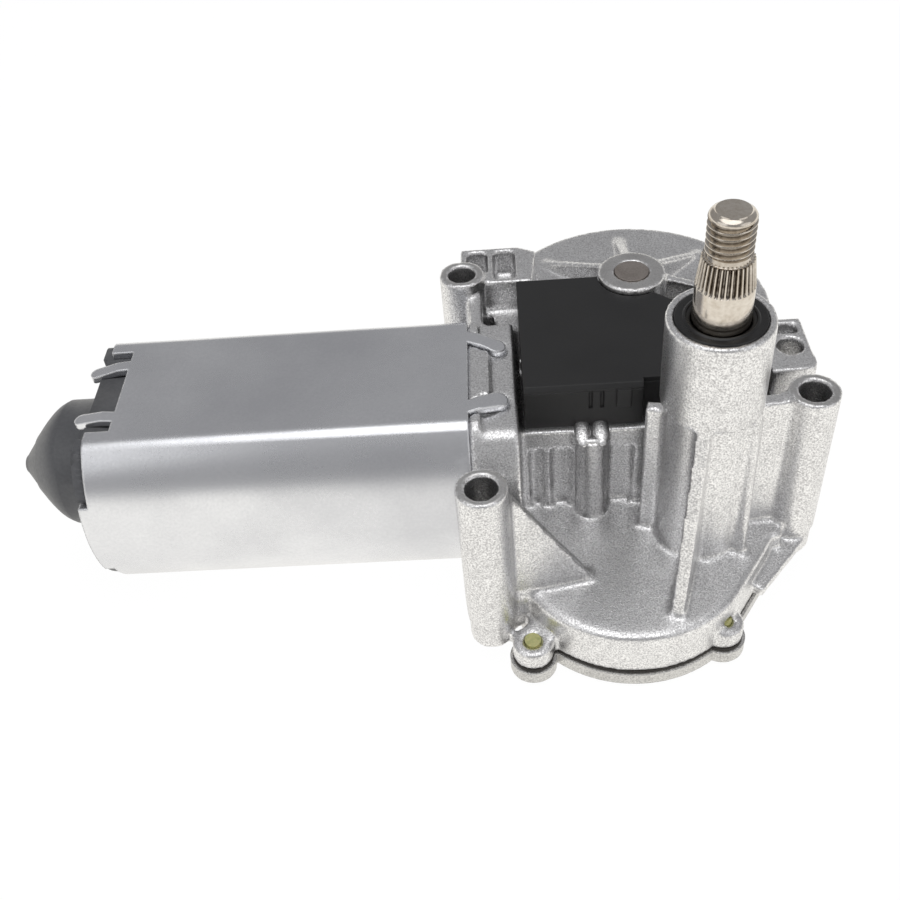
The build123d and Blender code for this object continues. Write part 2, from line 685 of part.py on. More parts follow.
def make_rod():
    """Connecting rod with the toothed sector at one end and the crank eye at the other."""
    contact = degrees(atan2(-pivot_y, -pivot_x))
    step = 360 / sector_teeth
    swing = far_angle - rest_angle
    before, after = 2, 2 + int(swing / step + 1)
    first = contact - (before - 0.5) * step
    count = before + after
    points = gear_profile(sector_teeth, sector_pitch_r, tooth_play, module * 0.9, module * 1.15, first, count)
    points.append((0, 0))
    rod = Pos(pivot_x, pivot_y, 0) * prism(points, gear_low, gear_top)
    rod += pillar(pivot_x, pivot_y, gear_low, gear_top, 7.5)
    rod += pillar(crank_x, crank_y, gear_low, gear_top, 6.5)
    rod += slab(pivot_x, pivot_y, crank_x, crank_y, rod_width - 3, gear_low, gear_top)
    rod -= pillar(pivot_x, pivot_y, gear_low - 1, gear_top + 1, pivot_pin_r + running_gap)
    rod -= pillar(crank_x, crank_y, gear_low - 1, gear_top + 1, crank_pin_r)
    return rod


def make_link(low, high, shaft_bore):
    """Flat link between the spindle and the sector's pivot."""
    link = pillar(0, 0, low, high, shaft_bore + 3) + pillar(pivot_x, pivot_y, low, high, 6)
    link += slab(0, 0, pivot_x, pivot_y, 11, low, high)
    link -= pillar(0, 0, low - 1, high + 1, shaft_bore)
    return link - pillar(pivot_x, pivot_y, low - 1, high + 1, pivot_pin_r)


# ---- worm wheel and motor inside ----
def make_worm_wheel():
    """Moulded worm wheel with helical teeth and a long hub."""
    twist = degrees(wheel_width * module / (2 * worm_pitch_r) / wheel_pitch_r)
    start = -90 - twist / 2 + 180 / wheel_teeth * wheel_phase
    faces = []
    for level, turn in ((wheel_low, 0), (wheel_top, twist)):
        points = gear_profile(wheel_teeth, wheel_pitch_r, tooth_play, module, module * 1.2, start + turn, wheel_teeth)
        faces.append(Pos(wheel_x, wheel_y, level) * make_face(Polyline(*points, close=True)))
    wheel = loft(faces, ruled=True)
    hub_top = chamber_roof_z - body_gap
    wheel -= tube(wheel_x, wheel_y, wheel_top - 3, wheel_top + 1, wheel_pitch_r - 6, 10)
    wheel += pillar(wheel_x, wheel_y, wheel_low + 3, hub_top, 8)
    wheel -= pillar(wheel_x, wheel_y, wheel_low - 1, hub_top + 1, axle_r + running_gap)
    return wheel - pillar(wheel_x, wheel_y, wheel_low - 1, wheel_low + 2.5, 8)


def make_worm_shaft():
    """Armature shaft with the single-start worm cut on it."""
    shaft = along_motor(yoke_far_x - cap_rim - 8, worm_end_x, armature_shaft_r)
    core_r = worm_pitch_r - module * 1.2
    low_x, high_x = wheel_x - worm_length / 2, wheel_x + worm_length / 2
    shaft -= motor_ring(low_x, high_x, armature_shaft_r + 1, core_r)
    lead = pi * module
    helix = Helix(lead, worm_length - 2 * lead, core_r - 0.2)
    root, tip = lead / 4 + 0.42 - worm_play, lead / 4 - 0.45 - worm_play
    tooth = Polyline((-0.1, -root), (core_depth, -tip), (core_depth, tip), (-0.1, root), close=True)
    section = Plane(origin=helix @ 0, x_dir=(1, 0, 0), z_dir=helix % 0) * make_face(tooth)
    thread = sweep(section, path=helix, is_frenet=True)
    thread = Pos(low_x + lead, motor_y, motor_z) * Rot(0, 90, 0) * thread
    return shaft + thread


def make_laminations():
    """Slotted lamination stack on the armature shaft."""
    stack = motor_ring(stack_x, stack_x + stack_length, armature_r, armature_shaft_r)
    for i in range(slot_count):
        turn = Pos(0, motor_y, motor_z) * Rot(360 / slot_count * i, 0, 0) * Pos(0, -motor_y, -motor_z)
        slot = block(stack_x - 1, stack_x + stack_length + 1, motor_y - 1.2, motor_y + 1.2,
                     motor_z + armature_r - 7, motor_z + armature_r + 1)
        stack -= turn * slot
    return stack


def make_windings():
    """Copper end turns at both ends of the stack."""
    outer = armature_r - 2.5
    turns = []
    for x0, x1 in ((stack_x - winding_length, stack_x),
                   (stack_x + stack_length, stack_x + stack_length + winding_length)):
        ring = motor_ring(x0, x1, outer, armature_shaft_r)
        turns.append(ring)
    return Compound(turns)


def make_commutator():
    """Commutator with its copper bars."""
    high_x = commutator_x + commutator_length
    drum = motor_ring(commutator_x, high_x, commutator_r, armature_shaft_r)
    for i in range(slot_count):
        turn = Pos(0, motor_y, motor_z) * Rot(360 / slot_count * i, 0, 0) * Pos(0, -motor_y, -motor_z)
        drum -= turn * block(commutator_x + 2, high_x + 1, motor_y - 0.3, motor_y + 0.3,
                             motor_z + commutator_r - 1, motor_z + commutator_r + 1)
    return drum


def magnet(side):
    """One curved magnet against the round side of the can."""
    low_x, high_x = stack_x - 4, stack_x + stack_length + 4
    ring = motor_ring(low_x, high_x, plug_r, armature_r + 1.2)
    near_y, far_y = sorted((motor_y, motor_y + side * yoke_r))
    return ring & block(low_x - 1, high_x + 1, near_y, far_y, motor_z - magnet_half, motor_z + magnet_half)


def make_brush_card():
    """Plate in the mouth of the can that carries the brush boxes."""
    card = can(card_x, card_x + 2.5, yoke_r - yoke_wall - 1.5, yoke_half_height - yoke_wall - 1.5, 4)
    card -= along_motor(card_x - 1, card_x + 4, commutator_r + 1.5)
    for angle in brush_angles:
        half = brush_half + seat_gap + brush_box_wall
        inner = brush_half + seat_gap
        holder = block(brush_x - half, brush_x + half, -half, half, commutator_r + 1.5, brush_box_top)
        holder -= block(brush_x - inner, brush_x + inner, -inner, inner, commutator_r, brush_box_top + 1)
        card += brush_place(angle) * holder
    return card


def brush_place(angle):
    """Placement of a brush that points along +Z before it is turned about the motor."""
    return Pos(0, motor_y, motor_z) * Rot(angle, 0, 0)


def make_brushes():
    """Carbon brushes that bear on the commutator."""
    brush = block(brush_x - brush_half, brush_x + brush_half, -brush_half, brush_half,
                  commutator_r + brush_gap, brush_box_top - brush_spring_length)
    return Compound([brush_place(angle) * brush for angle in brush_angles])


def make_brush_springs():
    """Coil springs behind the brushes, as plain sleeves."""
    springs = []
    for angle in brush_angles:
        coil = tube(brush_x, 0, brush_box_top - brush_spring_length, brush_box_top, brush_half - 0.5, brush_half - 1.2)
        springs.append(brush_place(angle) * coil)
    return Compound(springs)


def pin_blades():
    """Blade contacts of the connector, one solid for each."""
    blades = []
    middle = disc_z + box_wall + socket_height / 2
    for i in range(pin_count):
        y = socket_low + (socket_high - socket_low) * (i + 0.5) / pin_count
        blades.append(block(box_right - socket_depth - 4, box_right - 3, y - 0.8, y + 0.8, middle - 0.4, middle + 0.4))
    return blades


def make_park_contacts():
    """Spring fingers that reach down to the contact disc on the worm wheel."""
    fingers = []
    for i in range(3):
        x = contact_x - 3 + 3 * i
        low = park_disc_top + body_gap
        strip = block(x - 0.7, x + 0.7, contact_y - 2, contact_y - 1.5, low, disc_z + box_wall + 3)
        foot = block(x - 0.7, x + 0.7, contact_y - 2, contact_y + 1.5, low, low + 0.5)
        head = block(x - 0.7, x + 0.7, contact_y - 4.5, contact_y - 1.5, disc_z + box_wall, disc_z + box_wall + 0.5)
        fingers.append(strip + foot + head)
    return Compound(fingers)


def make_all():
    """Every piece, by node name."""
    top_bush = turret_z - seal_depth - 3
    collar_x = worm_end_x
    return {
        "gear_housing": make_gear_housing(),
        "bottom_cover": make_bottom_cover(),
        "cover_gasket": make_gasket(),
        "cover_screws": make_cover_screws(),
        "motor_yoke": make_yoke(),
        "end_cap": make_end_cap(),
        "magnet_front": magnet(-1),
        "magnet_rear": magnet(1),
        "brush_card": make_brush_card(),
        "brushes": make_brushes(),
        "brush_springs": make_brush_springs(),
        "rear_bearing": motor_ring(rear_bearing_x, rear_bearing_x + 6, rear_bearing_r, armature_shaft_r + running_gap),
        "neck_bush": motor_ring(box_left - 7.5, box_left - 0.5, armature_shaft_r + 3, armature_shaft_r + running_gap),
        "worm_end_bush": motor_ring(collar_x - 6, collar_x - 0.5, worm_bush_r, armature_shaft_r + running_gap),
        "thrust_screw": along_motor(collar_x + body_gap, case_right + 1.5, 3),
        "control_box": make_control_box(),
        "control_box_lid": make_box_lid(),
        "connector_pins": Compound(pin_blades()),
        "park_contacts": make_park_contacts(),
        "wheel_axle": pillar(wheel_x, wheel_y, wheel_low + 0.4, boss_z, axle_r),
        "axle_clip": tube(wheel_x, wheel_y, wheel_low + 0.6, wheel_low + 1.6, 7, axle_r),
        "upper_bush": tube(0, 0, top_bush - bush_length, top_bush, bush_outer_r, spindle_r + running_gap),
        "lower_bush": tube(0, 0, lobe_roof_z, lobe_roof_z + bush_length, bush_outer_r, spindle_r + running_gap),
        "thrust_washer": tube(0, 0, top_bush + 0.2, top_bush + 1.2, bush_outer_r - 0.2, spindle_r + running_gap),
        "shaft_seal": make_seal(),
        "output_shaft": make_output_shaft(),
        "output_pinion": make_pinion(),
        "retaining_ring": tube(0, 0, lower_link_low - 1.3, lower_link_low - 0.4, gear_seat_r + 2, gear_seat_r),
        "link_plate_upper": make_link(upper_link_top - link_thickness, upper_link_top, spindle_r + running_gap),
        "link_plate_lower": make_link(lower_link_low, lower_link_top, gear_seat_r + running_gap),
        "sector_pivot": pillar(pivot_x, pivot_y, lower_link_low - 0.4, upper_link_top + 0.3, pivot_pin_r),
        "connecting_rod": make_rod(),
        "crank_pin": pillar(crank_x, crank_y, gear_low - 0.4, wheel_low - body_gap, crank_pin_r),
        "worm_wheel": make_worm_wheel(),
        "park_disc": tube(wheel_x, wheel_y, wheel_top - 3, park_disc_top, wheel_pitch_r - 6, 12),
        "armature_shaft": make_worm_shaft(),
        "laminations": make_laminations(),
        "windings": make_windings(),
        "commutator": make_commutator(),
    }


def make_seal():
    """Rubber seal in the turret mouth, with a raised lip round the spindle."""
    low, high = turret_z - seal_depth, turret_z + 0.6
    gap = spindle_r + running_gap
    profile = Polyline((gap, low), (seal_r, low), (seal_r, high), (seal_r - 2.2, high), (seal_r - 2.5, high - 0.8),
                       (gap + 1.0, high - 0.8), (gap + 0.6, high + seal_lip_height), (gap, high + seal_lip_height),
                       close=True)
    return revolve(Plane.XZ * make_face(profile), Axis.Z)


def main():
    """Build every piece and write one file for each."""
    os.makedirs("parts", exist_ok=True)
    for name, piece in make_all().items():
        export_step(piece, "parts/" + name + ".step")


main()
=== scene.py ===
"""Dresses the wiper motor: castings, rolled steel, moulded plastic and rubber, in a pale studio."""
from __future__ import annotations

import logging
import math
from dataclasses import dataclass
from enum import Enum

import bmesh
import bpy
from mathutils import Matrix, Vector

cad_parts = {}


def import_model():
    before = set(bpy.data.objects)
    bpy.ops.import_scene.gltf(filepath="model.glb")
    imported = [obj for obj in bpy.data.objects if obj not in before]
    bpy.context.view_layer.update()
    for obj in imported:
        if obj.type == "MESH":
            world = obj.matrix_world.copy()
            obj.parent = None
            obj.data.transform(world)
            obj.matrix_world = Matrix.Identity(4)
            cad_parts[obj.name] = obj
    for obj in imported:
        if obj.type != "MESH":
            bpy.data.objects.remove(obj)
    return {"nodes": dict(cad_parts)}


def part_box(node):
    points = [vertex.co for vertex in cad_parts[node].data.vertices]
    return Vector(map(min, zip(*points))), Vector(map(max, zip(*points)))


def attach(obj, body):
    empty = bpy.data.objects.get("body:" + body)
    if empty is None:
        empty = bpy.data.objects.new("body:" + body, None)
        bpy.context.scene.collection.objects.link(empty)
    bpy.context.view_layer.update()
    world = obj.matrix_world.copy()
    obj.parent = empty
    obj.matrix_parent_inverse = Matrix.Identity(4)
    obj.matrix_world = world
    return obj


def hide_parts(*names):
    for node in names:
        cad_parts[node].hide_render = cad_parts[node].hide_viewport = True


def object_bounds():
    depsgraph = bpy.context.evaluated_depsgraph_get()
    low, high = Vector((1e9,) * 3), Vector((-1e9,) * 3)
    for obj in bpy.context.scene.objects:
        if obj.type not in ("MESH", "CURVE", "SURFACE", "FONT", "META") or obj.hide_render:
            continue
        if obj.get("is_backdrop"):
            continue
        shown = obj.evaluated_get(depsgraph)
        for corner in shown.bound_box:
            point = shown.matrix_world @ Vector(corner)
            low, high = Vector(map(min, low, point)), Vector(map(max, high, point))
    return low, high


LOG = logging.getLogger("wiper_motor")
MM = 0.001
# Name of the attribute that paints dark brown into the spindle's roots: partly grease, partly painted shade
# where the roots lie in shadow.
GREASE_AND_SHADE = "grease_and_shade"

# Points nearer than this are one point: in a new mesh, and in a packed one.
WELD_MM = 0.002
CAD_WELD_MM = 0.0005
# Edges that turn by more than this stay sharp.
SHARP_DEG = 35
# How far each round of smoothing takes a point towards the middle of its neighbours.
SMOOTH_FACTOR = 0.5

# The finishes' shader: how fine its two noises and its bevel are, and how strong its bump is.
GRAIN_DETAIL = 3.0
PATCH_DETAIL = 4.0
BEVEL_SAMPLES = 6
BUMP_STRENGTH = 0.6
# Share of the brown grease and painted root shade that stays where it is thinnest.
LEAST_GREASE_AND_SHADE = 0.65
WHITE = (1, 1, 1, 1)

# The casting's landmarks in millimetres: heights count down from the mounting plane.
CHAMBER_CENTRE_MM = (-17.5, -3.5)
CHAMBER_RADIUS_MM = 30.2
CHAMBER_ROOF_DROP_MM = 41
PEG_CENTRE_MM = (-26.1, 9.8)
PEG_FOOT_DROP_MM = 41.1
PEG_TOP_DROP_MM = 14.3


# ---------------------------------------------------------------- colours and nodes
def linear(colour: str) -> tuple[float, float, float, float]:
    """Turns an sRGB hex colour into linear light.

    Args:
        colour: six hex digits after a hash sign.

    Returns:
        Red, green, blue and an alpha of one.
    """
    channels = [int(colour[i:i + 2], 16) / 255 for i in (1, 3, 5)]
    lit = [c / 12.92 if c <= 0.04045 else ((c + 0.055) / 1.055) ** 2.4 for c in channels]
    return lit[0], lit[1], lit[2], 1.0


def node(tree: bpy.types.NodeTree, kind: str, settings: dict | None = None,
         **links: bpy.types.NodeSocket) -> bpy.types.Node:
    """Adds one node to a tree, sets it and links it.

    Args:
        tree: the tree that gets the node.
        kind: Blender's name for the node's class.
        settings: attributes of the node, and values of its sockets under their names or numbers.
        links: sockets of other nodes, under this node's socket names with _ for a space.

    Returns:
        The new node.
    """
    made = tree.nodes.new(kind)
    for name, value in (settings or {}).items():
        if isinstance(name, int) or name in made.inputs:
            made.inputs[name].default_value = value
        else:
            setattr(made, name, value)
    for name, source in links.items():
        target = made.inputs[int(name[1:])] if name[1:].isdigit() else made.inputs[name.replace("_", " ")]
        tree.links.new(source, target)
    return made


class Blend(Enum):
    """Kinds of value that a Mix node blends: type, the two inputs' numbers and the output's."""

    NUMBERS = ("FLOAT", 2, 3, 0)
    COLOURS = ("RGBA", 6, 7, 2)


def mix(tree: bpy.types.NodeTree, kind: Blend, share: bpy.types.NodeSocket | float,
        first: object, second: object) -> bpy.types.NodeSocket:
    """Blends two numbers or two colours, each given as a value or as another node's socket.

    Args:
        tree: the tree that gets the node.
        kind: what is blended.
        share: how much of the second shows, from 0 to 1.
        first: what shows at 0.
        second: what shows at 1.

    Returns:
        The socket with the result.
    """
    data_type, low, high, result = kind.value
    made = node(tree, "ShaderNodeMix", {"data_type": data_type})
    for number, source in ((0, share), (low, first), (high, second)):
        if isinstance(source, bpy.types.NodeSocket):
            tree.links.new(source, made.inputs[number])
        else:
            made.inputs[number].default_value = source
    return made.outputs[result]


class Pattern(Enum):
    """How a finish varies over a surface."""

    GRAIN = "even grain, as cast, moulded or sintered"
    STREAKS = "rolling streaks"
    TURNED = "fine rings round an upright axis"


@dataclass(frozen=True)
class Finish:
    """A surface with two close colours, a pattern between them and a fine bump.

    The grain and the larger patches of the pattern have real sizes in millimetres. The spread is how far
    the roughness goes up and down with the pattern, and the edge is the radius of a worn edge.
    """

    name: str
    colour: str
    shade: str
    metallic: float
    roughness: float
    spread: float
    grain_mm: float
    patch_mm: float
    bump_mm: float
    edge_mm: float
    pattern: Pattern = Pattern.GRAIN
    contrast: float = 0.15
    patchiness: float = 0.5
    grease_and_shade: str = ""

    def scales(self) -> tuple[float, float, float]:
        """Stretch of the pattern along X, Y and Z."""
        if self.pattern is Pattern.STREAKS:
            return 1.0, 0.06, 0.06
        if self.pattern is Pattern.TURNED:
            return 0.08, 0.08, 1.0
        return 1.0, 1.0, 1.0

    def build(self) -> bpy.types.Material:
        """Makes the material.

        Returns:
            The material, with its shader wired up.
        """
        material = bpy.data.materials.new(self.name)
        material.use_nodes = True
        tree = material.node_tree
        tree.nodes.clear()
        place = node(tree, "ShaderNodeTexCoord").outputs["Object"]
        stretched = node(tree, "ShaderNodeMapping", {"Scale": self.scales()}, Vector=place).outputs[0]
        grain, patch = (
            node(tree, "ShaderNodeTexNoise", {"Scale": 1 / (size_mm * MM), "Detail": detail},
                 Vector=stretched).outputs["Fac"]
            for size_mm, detail in ((self.grain_mm, GRAIN_DETAIL), (self.patch_mm, PATCH_DETAIL)))
        both = mix(tree, Blend.NUMBERS, self.patchiness, grain, patch)
        spread = node(tree, "ShaderNodeMapRange", {"From Min": 0.5 - self.contrast,
                                                   "From Max": 0.5 + self.contrast}, Value=both).outputs[0]
        tone = mix(tree, Blend.COLOURS, spread, linear(self.colour), linear(self.shade))
        # The piece's root depth paints a dark colour into its recesses: partly grease, partly painted
        # shade.
        if self.grease_and_shade:
            depth = node(tree, "ShaderNodeAttribute", {"attribute_name": GREASE_AND_SHADE})
            cover = node(tree, "ShaderNodeMapRange", {"To Min": LEAST_GREASE_AND_SHADE}, Value=spread)
            thick = node(tree, "ShaderNodeMath", {"operation": "MULTIPLY"}, _0=depth.outputs["Fac"],
                         _1=cover.outputs[0])
            tone = mix(tree, Blend.COLOURS, thick.outputs[0], tone, linear(self.grease_and_shade))
        rough = node(tree, "ShaderNodeMapRange", {"To Min": self.roughness - self.spread,
                                                  "To Max": self.roughness + self.spread}, Value=spread)
        bump = node(tree, "ShaderNodeBump", {"Strength": BUMP_STRENGTH, "Distance": self.bump_mm * MM},
                    Height=grain)
        if self.edge_mm:
            rounded = node(tree, "ShaderNodeBevel", {"samples": BEVEL_SAMPLES, "Radius": self.edge_mm * MM})
            tree.links.new(rounded.outputs[0], bump.inputs["Normal"])
        shader = node(tree, "ShaderNodeBsdfPrincipled", {"Metallic": self.metallic},
                      Base_Color=tone, Roughness=rough.outputs[0], Normal=bump.outputs[0])
        node(tree, "ShaderNodeOutputMaterial", Surface=shader.outputs[0])
        return material


FINISHES = {
    # Die-cast aluminium, shot blasted: an even sandy grain under a dull metal shine.
    "cast": Finish(
        "cast_aluminium", "#FFFFFF", "#C4C3C4", metallic=1.0, roughness=0.33, spread=0.08,
        grain_mm=0.40, patch_mm=7.0, bump_mm=0.12, edge_mm=0.4, contrast=0.12, patchiness=0.12),
    # Faces milled flat after casting: smoother and darker than the skin round them.
    "milled": Finish(
        "milled_aluminium", "#DEDDDC", "#BDBCBB", metallic=1.0, roughness=0.32, spread=0.06,
        grain_mm=0.4, patch_mm=4.0, bump_mm=0.03, edge_mm=0.2),
    # The cover is the same alloy, a little greyer.
    "cover": Finish(
        "cover_casting", "#E4E3E1", "#A8A7A6", metallic=1.0, roughness=0.32, spread=0.08, grain_mm=0.40,
        patch_mm=12.0, bump_mm=0.12, edge_mm=0.4, contrast=0.16, patchiness=0.15),
    # Zinc plated steel sheet, rolled to shape: bluish grey, clouded by handling.
    "yoke": Finish(
        "zinc_plated_steel", "#EEEFF2", "#D6D7DB", metallic=1.0, roughness=0.27, spread=0.04,
        grain_mm=0.7, patch_mm=38.0, bump_mm=0.012, edge_mm=0.8, patchiness=0.8),
    # Glass filled nylon, moulded black with a dull skin.
    "box": Finish(
        "black_nylon", "#1B1B1C", "#222223", metallic=0.0, roughness=0.44, spread=0.06, grain_mm=0.7,
        patch_mm=10.0, bump_mm=0.03, edge_mm=0.5),
    # The same kind of plastic in grey.
    "cap": Finish(
        "grey_nylon", "#626366", "#58595C", metallic=0.0, roughness=0.40, spread=0.05, grain_mm=0.8,
        patch_mm=18.0, bump_mm=0.02, edge_mm=0.3),
    # Nitrile rubber with a soft gloss.
    "seal": Finish(
        "nitrile_rubber", "#151516", "#1D1D1E", metallic=0.0, roughness=0.30, spread=0.05, grain_mm=1.0,
        patch_mm=6.0, bump_mm=0.01, edge_mm=0.15),
    # Pressed fibre paper, soaked dark.
    "gasket": Finish(
        "gasket_paper", "#4C4844", "#3E3B38", metallic=0.0, roughness=0.6, spread=0.05, grain_mm=0.6,
        patch_mm=6.0, bump_mm=0.02, edge_mm=0.0),
    # Nickel plated steel: bright and slightly warm.
    "bright": Finish(
        "nickel_plated_steel", "#E2DBD1", "#CDC4B8", metallic=1.0, roughness=0.16, spread=0.04,
        grain_mm=1.2, patch_mm=5.0, bump_mm=0.008, edge_mm=0.1, pattern=Pattern.TURNED),
    # The same plating over thread and knurl, with dark brown painted into the roots: partly the grease that
    # stays there, partly painted shade where the roots lie in shadow.
    "spindle": Finish(
        "greased_and_shaded_nickel_plating", "#E2DBD1", "#CBC1B4", metallic=1.0, roughness=0.17, spread=0.05,
        grain_mm=0.9, patch_mm=4.0, bump_mm=0.010, edge_mm=0.0, grease_and_shade="#3A2E24"),
    # Turned and stamped steel, oiled.
    "steel": Finish(
        "oiled_steel", "#C2C2C3", "#A5A5A6", metallic=1.0, roughness=0.30, spread=0.06, grain_mm=0.8,
        patch_mm=8.0, bump_mm=0.01, edge_mm=0.15),
    # Ends of the pressed axle, dull and brownish.
    "axle": Finish(
        "dull_steel", "#B5ADA7", "#958D87", metallic=0.95, roughness=0.42, spread=0.08, grain_mm=0.4,
        patch_mm=4.0, bump_mm=0.03, edge_mm=0.15),
    # Edges of the stamped steel laminations, with rolling streaks.
    "lamination": Finish(
        "lamination_steel", "#7E7F82", "#606163", metallic=1.0, roughness=0.42, spread=0.08,
        grain_mm=0.5, patch_mm=6.0, bump_mm=0.02, edge_mm=0.0, pattern=Pattern.STREAKS),
    # Zinc on the screws, passivated yellow with a tinge of green.
    "passivated": Finish(
        "yellow_passivated_zinc", "#E9E2A6", "#BCC184", metallic=0.6, roughness=0.30, spread=0.06,
        grain_mm=0.9, patch_mm=2.5, bump_mm=0.01, edge_mm=0.1),
    # Enamelled wire, and the commutator's bars.
    "copper": Finish(
        "enamelled_copper", "#B4653A", "#9A4F2B", metallic=0.9, roughness=0.28, spread=0.06,
        grain_mm=0.5, patch_mm=5.0, bump_mm=0.02, edge_mm=0.1),
    # Sintered bronze of the bushes, brown with oil.
    "bronze": Finish(
        "sintered_bronze", "#A98552", "#8E6D40", metallic=0.9, roughness=0.45, spread=0.06,
        grain_mm=0.4, patch_mm=5.0, bump_mm=0.02, edge_mm=0.1),
    # Stamped brass of the contacts, springs and pins.
    "brass": Finish(
        "stamped_brass", "#CDB070", "#B79A5C", metallic=1.0, roughness=0.28, spread=0.05, grain_mm=0.6,
        patch_mm=5.0, bump_mm=0.01, edge_mm=0.1),
    # Pressed carbon of the brushes.
    "carbon": Finish(
        "pressed_carbon", "#2A2A2B", "#202021", metallic=0.2, roughness=0.55, spread=0.05, grain_mm=0.3,
        patch_mm=3.0, bump_mm=0.02, edge_mm=0.1),
    # Sintered ferrite of the magnets.
    "ferrite": Finish(
        "sintered_ferrite", "#454547", "#383839", metallic=0.1, roughness=0.5, spread=0.05,
        grain_mm=0.5, patch_mm=8.0, bump_mm=0.02, edge_mm=0.2),
    # Natural nylon of the worm wheel, cream coloured.
    "nylon": Finish(
        "natural_nylon", "#DDD8C8", "#D0CAB8", metallic=0.0, roughness=0.42, spread=0.05, grain_mm=0.8,
        patch_mm=12.0, bump_mm=0.015, edge_mm=0.2),
}

NODE_FINISH = {
    "gear_housing": "cast", "bottom_cover": "cover", "cover_gasket": "gasket", "cover_screws": "passivated",
    "motor_yoke": "yoke", "end_cap": "cap", "magnet_front": "ferrite", "magnet_rear": "ferrite",
    "brush_card": "cap", "brushes": "carbon", "brush_springs": "brass", "rear_bearing": "steel",
    "neck_bush": "bronze", "worm_end_bush": "bronze", "thrust_screw": "passivated", "control_box": "box",
    "control_box_lid": "box", "connector_pins": "brass", "park_contacts": "brass", "wheel_axle": "axle",
    "axle_clip": "steel", "upper_bush": "bronze", "lower_bush": "bronze", "thrust_washer": "bright",
    "shaft_seal": "seal", "output_shaft": "bright", "output_pinion": "steel", "retaining_ring": "bright",
    "link_plate_upper": "steel", "link_plate_lower": "steel", "sector_pivot": "steel",
    "connecting_rod": "steel", "crank_pin": "steel", "worm_wheel": "nylon", "park_disc": "brass",
    "armature_shaft": "steel", "laminations": "lamination", "windings": "copper", "commutator": "copper",
}


class Palette:
    """Builds each finish once and puts it on objects."""

    def __init__(self) -> None:
        """Makes the materials."""
        self.materials = {key: finish.build() for key, finish in FINISHES.items()}

    def paint(self, target: bpy.types.Object, key: str) -> None:
        """Gives an object one finish.

        Args:
            target: the object.
            key: name of the finish.
        """
        target.data.materials.clear()
        target.data.materials.append(self.materials[key])


# ---------------------------------------------------------------- mesh helpers
def finished(mesh: bmesh.types.BMesh, name: str) -> bpy.types.Object:
    """Turns a bmesh into a smooth-shaded object at the origin.

    Args:
        mesh: the shape, which is freed.
        name: name of the piece.

    Returns:
        The new object, linked to the scene.
    """
    bmesh.ops.remove_doubles(mesh, verts=mesh.verts, dist=WELD_MM * MM)
    bmesh.ops.recalc_face_normals(mesh, faces=mesh.faces)
    data = bpy.data.meshes.new(name)
    mesh.to_mesh(data)
    mesh.free()
    made = bpy.data.objects.new(name, data)
    bpy.context.scene.collection.objects.link(made)
    data.shade_smooth()
    data.set_sharp_from_angle(angle=math.radians(SHARP_DEG))
    return made


def lathe(mesh: bmesh.types.BMesh, outline: list[tuple[float, float]], steps: int = 96) -> None:
    """Spins an outline about the Z axis.

    Args:
        mesh: gets the faces.
        outline: radius and height of each point, in millimetres.
        steps: facets round the axis.
    """
    points = [mesh.verts.new((r * MM, 0, z * MM)) for r, z in outline]
    edges = [mesh.edges.new(pair) for pair in zip(points, points[1:])]
    bmesh.ops.spin(mesh, geom=points + edges, cent=(0, 0, 0), axis=(0, 0, 1), dvec=(0, 0, 0),
                   angle=math.tau, steps=steps, use_merge=True, use_duplicate=False)


def join(mesh: bmesh.types.BMesh, part: bmesh.types.BMesh) -> None:
    """Adds one mesh to another.

    Args:
        mesh: gets the faces.
        part: gives them, and is freed.
    """
    data = bpy.data.meshes.new("part")
    part.to_mesh(data)
    part.free()
    mesh.from_mesh(data)
    bpy.data.meshes.remove(data)


def settle(source: bpy.types.Object) -> None:
    """Applies an object's modifiers, which leaves it with a plain mesh.

    Args:
        source: the object.
    """
    graph = bpy.context.evaluated_depsgraph_get()
    graph.update()
    baked = bpy.data.meshes.new_from_object(source.evaluated_get(graph))
    source.modifiers.clear()
    source.data = baked


def smooth(piece: bpy.types.Object, name: str, chosen: list[int], rounds: int) -> None:
    """Smooths some of an object's points.

    Args:
        piece: the object.
        name: name of the group that the points go into.
        chosen: the points' numbers.
        rounds: how many times they are smoothed.
    """
    group = piece.vertex_groups.new(name=name)
    group.add(chosen, 1.0, "REPLACE")
    soft = piece.modifiers.new(name, "SMOOTH")
    soft.factor = SMOOTH_FACTOR
    soft.iterations = rounds
    soft.vertex_group = group.name
    settle(piece)


